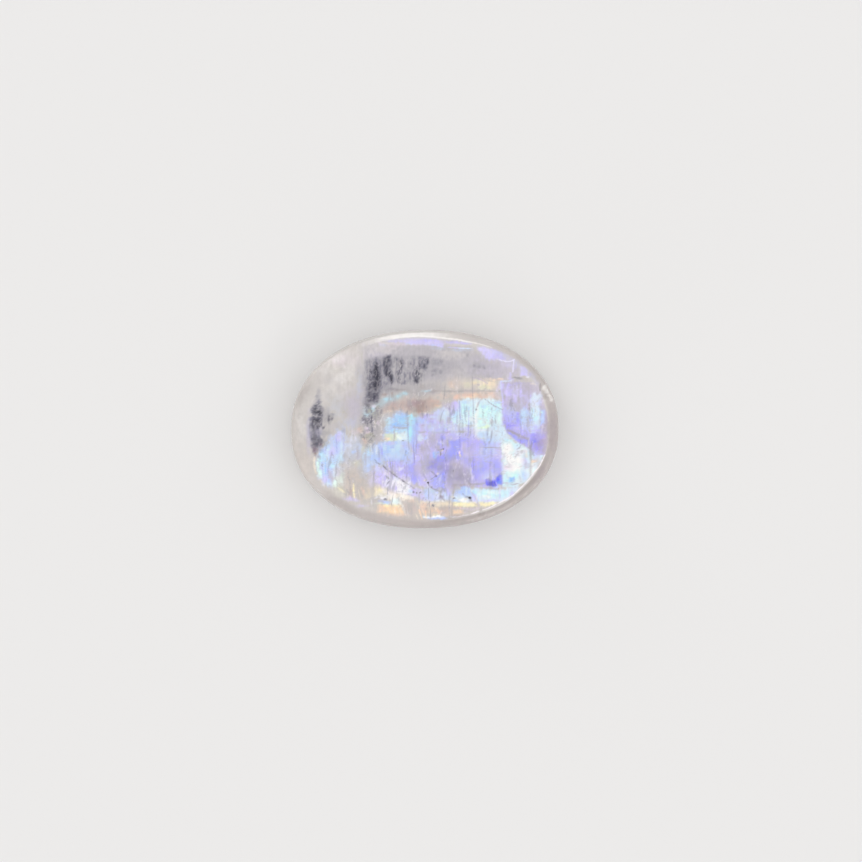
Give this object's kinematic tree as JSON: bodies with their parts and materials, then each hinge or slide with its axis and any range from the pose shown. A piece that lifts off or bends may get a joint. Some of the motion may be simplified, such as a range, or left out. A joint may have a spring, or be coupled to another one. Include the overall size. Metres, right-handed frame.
{
  "type": "rainbow moonstone cabochon",
  "caption": "Polished oval cabochon of milky rainbow moonstone with a low dome, a sloping rim and a flat back, showing blue, violet and golden flashes under its skin.",
  "frame": {"origin": "middle of the flat back, on the surface that the stone lies on", "axes": "+X along the stone's length, +Y across its width, +Z out of the dome, from the flat back to the crown"},
  "size_m": [0.02, 0.0148, 0.0044],
  "materials": {
    "moonstone": "polished"
  },
  "bodies": {
    "root": {"moonstone": "moonstone"}
  },
  "joints": []
}
